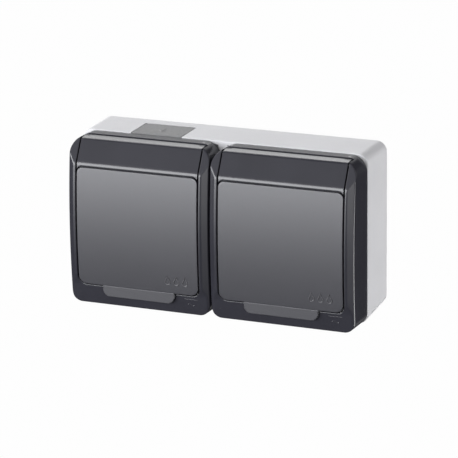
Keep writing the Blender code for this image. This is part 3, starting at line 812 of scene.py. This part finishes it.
def lid_front(z):
    """Front of the lid's band: slanted plane that rolls upright towards its lower edge."""
    slope = (BAND_TOP[0] - BAND_BOTTOM[0]) / (BAND_TOP[1] - BAND_BOTTOM[1])
    if z >= ROLL_TOP:
        return band_depth(z)
    span = ROLL_TOP - ROLL_LOW
    down = min(ROLL_TOP - z, span)
    depth = band_depth(ROLL_TOP) + slope * down - (slope - UPRIGHT) * down * down / (2 * span)
    return depth + UPRIGHT * max(ROLL_LOW - z, 0.0)


def band_profile(low):
    """Section of the band through (y, z) for one height of its lower edge."""
    ty, tz = BAND_TOP
    sy, sz = STRIP_BACK
    edge, ledge = 0.28, 0.2
    centre_z = low + ledge + edge
    centre_d = lid_front(centre_z) - edge
    points = arc(HINGE_Y, HINGE_Z, KNUCKLE, 20, -150, 24)
    points += [(TRAY_BACK + 0.2, 30.1), (TRAY_BACK, 29.6), (TRAY_BACK, low)]
    points += [(-(centre_d - 0.35), low), (-(centre_d - 0.25), low + 0.08),
               (-(centre_d - 0.25), low + ledge)]
    for k in range(6):
        t = math.radians(-90 + 85 * k / 5 + 2.5)
        points.append((-(centre_d + edge * math.cos(t)), centre_z + edge * math.sin(t)))
    top = tz - 0.9
    for start, end, steps in ((centre_z, ROLL_TOP, 10), (ROLL_TOP, top, 5)):
        for k in range(1, steps + 1):
            z = mix(start, end, k / steps)
            points.append((-lid_front(z), z))
    slope = (sz - tz) / (sy - ty)
    bend = 1.0
    ay, az = -lid_front(top), top
    by, bz = ty + bend, tz + bend * slope
    for k in range(1, 7):
        t = k / 6
        points.append(((1 - t) ** 2 * ay + 2 * t * (1 - t) * ty + t * t * by,
                       (1 - t) ** 2 * az + 2 * t * (1 - t) * tz + t * t * bz))
    for k in (1, 2):
        points.append((mix(by, sy - 0.25, k / 2), mix(bz, sz - 0.25 * slope, k / 2)))
    points += [(sy - 0.08, sz - 0.06), (sy, sz - 0.25), (sy + 0.2, sz - 1.1)]
    return points


def shrunk(points, inset):
    """Closed (y, z) profile drawn inwards."""
    if inset < 1e-6:
        return points
    area = sum(a[0] * b[1] - b[0] * a[1] for a, b in zip(points, points[1:] + points[:1]))
    sign = 1 if area > 0 else -1
    moved = []
    for before, point, after in zip(points[-1:] + points[:-1], points, points[1:] + points[:1]):
        first = (Vector(point) - Vector(before)).normalized()
        second = (Vector(after) - Vector(point)).normalized()
        along = (first + second).normalized()
        normal = Vector((-along.y, along.x)) * sign
        moved.append(tuple(Vector(point) + normal * inset))
    return moved


def lid_mesh():
    """Knuckle, slanted band with ears round the panel's corners, and the tray."""
    edge = 0.15
    stations = [(LID_HALF - edge * (1 - math.cos(math.radians(a))),
                 edge * (1 - math.sin(math.radians(a)))) for a in (0, 18, 36, 54, 72, 90)]
    stations += [(LID_HALF - edge - 0.25 * k, 0.0) for k in range(1, 13)]
    stations += [(x, 0.0) for x in (24.0, 18.0, 12.0, 6.0)]
    left = [(-x, inset) for x, inset in stations]
    loops = []
    for x, inset in left + [(0.0, 0.0)] + stations[::-1]:
        profile = shrunk(band_profile(lower_edge(x)), inset)
        loops.append([(x, y, z) for y, z in profile])
    band = skin("band", loops)
    tray_half = LID_HALF - GAP
    tray = plate("tray", (-tray_half, tray_half, LID_BOTTOM + GAP, BAND_BOTTOM[1] - 0.5),
                 (LID_CORNER - GAP, 0.4), TRAY_BACK, lambda u, v: -TRAY_FRONT, 0.3, (8, 8, 8),
                 (), straight, 0.3)
    bores = [rod(PIN_BORE, -LID_HALF - 1, LID_HALF + 1, HINGE_Y, HINGE_Z, 32),
             rod(SPRING_BORE, -SPRING_HALF, SPRING_HALF, HINGE_Y, HINGE_Z, 32),
             block(-SPRING_HALF, SPRING_HALF, HINGE_Y - 0.4, HINGE_Y + 4, HINGE_Z - 4,
                   HINGE_Z + 0.3)]
    return combine(band, [("UNION", tray)] + [("DIFFERENCE", tool) for tool in bores])


def drop_path(x, z, height):
    """Closed outline of a water drop with its point up."""
    radius = height * 0.3
    low = z - height / 2 + radius
    path = []
    for k in range(21):
        t = math.radians(150 + 240 * k / 20)
        path.append((x + radius * math.cos(t), low + radius * math.sin(t)))
    path.append((x + radius * 0.38, z + height * 0.22))
    path.append((x, z + height / 2))
    path.append((x - radius * 0.38, z + height * 0.22))
    return path


def panel_mesh():
    """Crowned satin panel, the finger tab below it and splash-proof drops on its lower corner."""
    box = (-LID_HALF, LID_HALF, LID_BOTTOM, PANEL_TOP)
    body = plate("panel", box, (LID_CORNER, PANEL_CORNER), PANEL_BACK, lambda u, v: crown(v),
                 0.3, (24, 48, 14), (1.0, 2.0, 3.0), straight, 0.15)
    marks = []
    for x in (16.0, 20.6, 25.2):
        path = [(px, -(crown(pz) - 0.02), pz) for px, pz in drop_path(x, -25.0, 4.3)]
        marks.append(tube("mark", path, 0.27, 8, closed=True))
    return gather("panel", [join(body, tab_mesh())] + marks)


def tab_mesh():
    """Finger tab: thin slab with rounded lower corners and rolled edges."""
    box = (-TAB_HALF, TAB_HALF, TAB_BOTTOM, LID_BOTTOM + 0.2)
    edge = 0.38
    profile = [(0.2, TAB_BACK), (0.0, TAB_BACK - 0.2)]
    for k in range(7):
        t = math.radians(90 * k / 6)
        profile.append((edge * (1 - math.cos(t)), TAB_FRONT + edge * (1 - math.sin(t))))
    loops = [[(u, y, v) for u, v in outline(box, (TAB_CORNER, 0.5), inset, (16, 3, 12))]
             for inset, y in profile]
    return skin("tab", loops)


def lid_gasket_mesh():
    """Ring of rubber with a rounded sealing bead towards the deck."""
    box = (-31.0, 31.0, LID_BOTTOM + 0.9, 29.4)
    counts = (12, 12, 10)
    profile = [(0.0, -39.4), (1.4, -39.4), (1.4, -37.2), (1.15, -36.2), (0.9, -35.85),
               (0.7, -35.75), (0.5, -35.85), (0.25, -36.2), (0.0, -37.2)]
    loops = [[(u, y, v) for u, v in outline(box, (4, 4), inset, counts)] for inset, y in profile]
    return skin("gasket", loops, closed=True)


def spring_path(radius, turns, start, end, per_turn=24):
    """Helix points as (across, across, along)."""
    points = []
    count = int(turns * per_turn)
    for k in range(count + 1):
        t = k / count
        angle = 2 * math.pi * turns * t
        points.append((radius * math.cos(angle), radius * math.sin(angle), mix(start, end, t)))
    return points


def lid_spring_mesh():
    """Coil of the torsion spring round the hinge pin."""
    coil = [(along, HINGE_Y + a, HINGE_Z + b)
            for a, b, along in spring_path(1.28, 15, -6.2, 6.2)]
    return tube("spring", coil, 0.24, 8)


def shutter_spring_mesh(y):
    coil = [(a, y + b, along) for a, b, along in spring_path(1.0, 6, -13.9, -5.9, 20)]
    return tube("spring", coil, 0.17, 8)


# ---------------------------------------------------------------- socket insert and its screws

def insert_mesh():
    """Face disc with a stepped rim, the plug well and its holes."""
    rim = 0.5
    profile = [(0.0, WELL_FLOOR + FLOOR_THICK), (WELL_OUTER - 0.4, WELL_FLOOR + FLOOR_THICK),
               (WELL_OUTER, WELL_FLOOR + FLOOR_THICK - 0.4), (WELL_OUTER, -35.7),
               (FACE_RADIUS - 0.2, -35.7), (FACE_RADIUS, -35.9)]
    profile += [(FACE_RADIUS - rim + rim * math.cos(t), FACE_FRONT + rim - rim * math.sin(t))
                for t in (math.radians(a) for a in (0, 18, 36, 54, 72, 90))]
    profile += [(23.9, FACE_FRONT), (23.7, FACE_FRONT + 0.25), (23.4, FACE_FRONT + 0.25),
                (23.2, FACE_FRONT)]
    profile += [(WELL_RADIUS + 0.7 - 0.7 * math.sin(t), FACE_FRONT + 0.7 - 0.7 * math.cos(t))
                for t in (math.radians(a) for a in (0, 18, 36, 54, 72, 90))]
    profile += [(WELL_RADIUS, WELL_FLOOR - 1.0), (WELL_RADIUS - 0.3, WELL_FLOOR - 0.3),
                (WELL_RADIUS - 1.0, WELL_FLOOR), (0.0, WELL_FLOOR)]
    body = turned("insert", profile, steps=128)
    holes = ((SCREW_BORE, 0, 0, 0.3), (PIN_HOLE, -PIN_SPACING / 2, 0, 0.45),
             (PIN_HOLE, PIN_SPACING / 2, 0, 0.45), (EARTH_RADIUS + GAP, 0, EARTH_Z, 0.3))
    return cut(body, *(bore(radius, WELL_FLOOR - 1.0, WELL_FLOOR + 2.6, x, z, flare)
                       for radius, x, z, flare in holes))


def screw_mesh(radius, height, shank, seat, end, slot):
    """Pan-head screw with a cross recess and a threaded shank, seated at y = seat."""
    top = seat - height
    dome = [(radius * math.cos(t), seat - 0.45 * height - 0.55 * height * math.sin(t))
            for t in (math.radians(a) for a in (0, 15, 30, 45, 60))]
    profile = [(0.0, top), (radius * 0.35, top)] + dome[::-1] + [(radius, seat - 0.1),
                                                                (radius - 0.1, seat)]
    y = seat
    core = shank * 0.8
    pitch = 0.7
    profile.append((core, y))
    while y + pitch < end - 1.0:
        profile += [(core, y + 0.2), (shank, y + 0.4), (shank, y + 0.5), (core, y + pitch)]
        y += pitch
    profile += [(core, end - 0.8), (core * 0.55, end), (0.0, end)]
    body = turned("screw", profile, steps=40)
    half, width = slot / 2, 0.34
    return cut(body, block(-half, half, top + 0.9, top - 1, -width, width),
               block(-width, width, top + 0.9, top - 1, -half, half))


def moved(mesh, x, z):
    own = mesh.copy()
    own.transform(Matrix.Translation((x * MM, 0, z * MM)))
    return own


def earth_mesh():
    """Earthing pin with a rounded tip, standing in its terminal block."""
    tip = WELL_FLOOR - 14.0
    profile = [(0.0, tip), (0.75, tip + 0.12), (1.35, tip + 0.45), (1.85, tip + 1.0),
               (2.2, tip + 1.8), (EARTH_RADIUS, tip + 3.0), (EARTH_RADIUS, -10.0), (0.0, -10.0)]
    pin = turned("pin", profile, 0.0, EARTH_Z, 64)
    front = WELL_FLOOR + FLOOR_THICK + GAP + 3.2 + 1.5 + GAP
    body = plate("block", (-3.0, 3.0, 5.7, 20.7), (0.5, 0.5), -7.8, lambda u, v: -front, 0.25,
                 (2, 4, 4), (), straight, 0.25)
    return combine(body, [("UNION", pin),
                          ("DIFFERENCE", turned("hole", [(1.7, front - 1), (1.7, -6.8)],
                                                0.0, 17.5, 32))])


# ---------------------------------------------------------------- build

def build_shared():
    piece("surface_box", box_mesh(), "box_light_grey", "housing", ["base_box"])
    piece("entry_tile", entry_mesh(), "entry_grey", "housing", ["cable_entry_plate"])
    dress("cable_entry_seal", "black_rubber", 0.2)
    dress("line_link_wire", "brown_pvc", 0.0)
    dress("neutral_link_wire", "blue_pvc", 0.0)
    dress("earth_link_wire", "green_pvc", 0.0)


def build_modules():
    cover, marks = cover_mesh(), bar_marks()
    lid, panel, gasket = lid_mesh(), panel_mesh(), lid_gasket_mesh()
    insert, earth = insert_mesh(), earth_mesh()
    cover_screw = screw_mesh(2.8, 1.6, 1.45, DECK_FRONT - GAP, -8.0, 3.0)
    insert_screw = screw_mesh(3.2, 1.8, 1.45, WELL_FLOOR - GAP, -7.0, 3.6)
    spring_y = WELL_FLOOR + FLOOR_THICK + GAP + 1.6
    lid_spring, shutter_spring = lid_spring_mesh(), shutter_spring_mesh(spring_y)
    for side, centre in MODULES.items():
        lid_body, shutter_body = side + "_lid", side + "_shutter"
        piece(side + "_frame", cover, "graphite", "housing", [side + "_cover"], centre, 34)
        piece(side + "_frame_marks", marks, "graphite", "housing", (), centre)
        piece(side + "_flap", lid, "graphite", lid_body, [side + "_lid"], centre, 34)
        piece(side + "_flap_panel", panel, "satin_grey", lid_body, [side + "_lid_panel"], centre)
        piece(side + "_flap_seal", gasket, "black_rubber", lid_body, [side + "_lid_gasket"],
              centre)
        piece(side + "_insert", insert, "insert_black", "housing", [side + "_socket_insert"],
              centre, 34)
        piece(side + "_earth", earth, "brass", "housing", [side + "_earth_pin"], centre)
        piece(side + "_centre_screw", insert_screw, "steel", "housing", [side + "_insert_screw"],
              centre, weighted=False)
        for word, (x, z) in zip(("upper", "lower"), COVER_SCREWS):
            piece(side + "_" + word + "_fixing", moved(cover_screw, x, z), "steel", "housing",
                  [side + "_" + word + "_cover_screw"], centre, weighted=False)
        coil = piece(side + "_hinge_spring", lid_spring, "steel", None, [side + "_lid_spring"],
                     centre, 60, False)
        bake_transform(coil)
        coil = piece(side + "_return_spring", shutter_spring, "steel", None,
                     [side + "_shutter_spring"], centre, 60, False)
        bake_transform(coil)
        dress(side + "_cover_gasket", "black_rubber", 0.2)
        dress(side + "_hinge_pin", "steel", 0.15)
        dress(side + "_mechanism_base", "white_plastic", 0.15)
        for pole in ("line_contact", "neutral_contact"):
            dress(side + "_" + pole, "brass", 0.2)
        for word in ("line_terminal_screw", "neutral_terminal_screw", "earth_terminal_screw",
                     "first_base_screw", "second_base_screw"):
            dress(side + "_" + word, "steel", 0.12)
        dress(side + "_shutter", "shutter_grey", 0.15)


# ---------------------------------------------------------------- stage

def direction(azimuth, elevation):
    """Unit vector towards a point seen from the object; azimuth 0 is -y and 90 is +x."""
    a, e = math.radians(azimuth), math.radians(elevation)
    return Vector((math.sin(a) * math.cos(e), -math.cos(a) * math.cos(e), math.sin(e)))


def aim(obj, azimuth, elevation, distance):
    """Places a light or card so that it faces the object, out of the camera's sight."""
    towards = direction(azimuth, elevation)
    obj.location = towards * distance
    obj.rotation_mode = "QUATERNION"
    obj.rotation_quaternion = towards.to_track_quat("Z", "Y")
    obj.visible_camera = False


def staged_plane(name, half_x, half_y, z, material):
    """Flat rectangle that belongs to the stage."""
    mesh = bpy.data.meshes.new(name)
    corners = [(-half_x, -half_y, z), (half_x, -half_y, z), (half_x, half_y, z),
               (-half_x, half_y, z)]
    mesh.from_pydata(corners, [], [(0, 1, 2, 3)])
    mesh.materials.append(material)
    plane = new_object(name, mesh)
    return plane


def softbox(name, azimuth, elevation, distance, width, height, radiance, tint):
    """Rectangular light aimed at the object, with its brightness given as radiance."""
    data = bpy.data.lights.new(name, "AREA")
    data.shape = "RECTANGLE"
    data.size, data.size_y = width, height
    data.energy = radiance * math.pi * width * height
    data.color = tint
    aim(new_object(name, data), azimuth, elevation, distance)


def build_world():
    """Studio surround: pale above the horizon and dark below it."""
    world = bpy.data.worlds.new("studio")
    world.use_nodes = True
    bpy.context.scene.world = world
    nodes, links = world.node_tree.nodes, world.node_tree.links
    where = nodes.new("ShaderNodeTexCoord")
    split = nodes.new("ShaderNodeSeparateXYZ")
    links.new(where.outputs["Generated"], split.inputs["Vector"])
    shift = nodes.new("ShaderNodeMapRange")
    shift.inputs["From Min"].default_value = -1.0
    shift.inputs["From Max"].default_value = 1.0
    links.new(split.outputs["Z"], shift.inputs["Value"])
    sky = nodes.new("ShaderNodeValToRGB")
    stops = ((0.0, 0.12), (0.36, 0.05), (0.44, 0.15), (0.52, 0.7), (0.84, 0.6), (0.94, 0.1))
    ramp_stops = sky.color_ramp.elements
    while len(ramp_stops) < len(stops):
        ramp_stops.new(0.5)
    for stop, (position, grey) in zip(ramp_stops, stops):
        stop.position = position
        stop.color = (grey, grey, grey * 1.02, 1)
    links.new(shift.outputs["Result"], sky.inputs["Fac"])
    links.new(sky.outputs["Color"], nodes["Background"].inputs["Color"])


def build_floor():
    """Plain pale floor, wide enough for every view."""
    material = bpy.data.materials.new("floor_white")
    material.use_nodes = True
    nodes, links = nodes_of(material)
    glow = nodes.new("ShaderNodeEmission")
    glow.inputs["Color"].default_value = (0.99, 0.99, 0.99, 1)
    links.new(glow.outputs["Emission"], nodes["Material Output"].inputs["Surface"])
    floor = staged_plane("floor", FLOOR_HALF, FLOOR_HALF, FLOOR_HEIGHT, material)
    floor.visible_diffuse = False
    floor.visible_glossy = False
    floor.visible_shadow = False


def build_flag():
    """Black card behind the right end, which keeps that side's reflections dark."""
    material = bpy.data.materials.new("flag_black")
    material.use_nodes = True
    shader = material.node_tree.nodes["Principled BSDF"]
    shader.inputs["Base Color"].default_value = (0.01, 0.01, 0.01, 1)
    shader.inputs["Roughness"].default_value = 0.9
    aim(staged_plane("flag", 0.36, 0.85, 0.0, material), 160, 8, 1.6)


def build_camera():
    data = bpy.data.cameras.new("camera")
    data.lens = CAMERA_LENS
    data.sensor_width = 36.0
    data.clip_start, data.clip_end = 0.05, 100.0
    camera = new_object("camera", data)
    back = direction(CAMERA_AZIMUTH, CAMERA_ELEVATION)
    a = math.radians(CAMERA_AZIMUTH)
    right = Vector((math.cos(a), math.sin(a), 0.0))
    up = back.cross(right)
    r = math.radians(CAMERA_ROLL)
    turned_right = right * math.cos(r) + up * math.sin(r)
    turned_up = up * math.cos(r) - right * math.sin(r)
    place = Vector(CAMERA_TARGET) + back * CAMERA_DISTANCE
    axes = Matrix((turned_right, turned_up, back)).transposed().to_4x4()
    camera.matrix_world = Matrix.Translation(place) @ axes
    bpy.context.scene.camera = camera


def build_stage():
    bpy.context.scene.view_settings.view_transform = "Standard"
    build_world()
    build_floor()
    cool, white = (0.97, 0.98, 1.0), (1, 1, 1)
    # name, azimuth, elevation, distance, width, height, radiance, tint
    for light in (("left_window", -36, 8, 2.0, 2.4, 0.84, 8.6, cool),
                  ("left_low", -36, -8, 2.0, 2.4, 0.28, 2.9, cool),
                  ("left_table", -36, -15, 2.0, 2.4, 0.21, 0.45, cool),
                  ("back_left", -153, 40, 2.2, 1.5, 0.8, 2.9, white),
                  ("right_window", 41, 0, 2.2, 1.2, 0.85, 1.7, white),
                  ("right_table", 46, -17, 2.2, 1.0, 0.5, 0.65, white),
                  ("right_side", 100, -24, 2.2, 1.4, 1.0, 7.8, white),
                  ("left_high", -110, 50, 2.2, 1.2, 1.0, 4.0, white),
                  ("back_table", 156, -32, 1.2, 0.5, 0.25, 0.3, white)):
        softbox(*light)
    build_flag()
    build_camera()


build_shared()
build_modules()
build_stage()
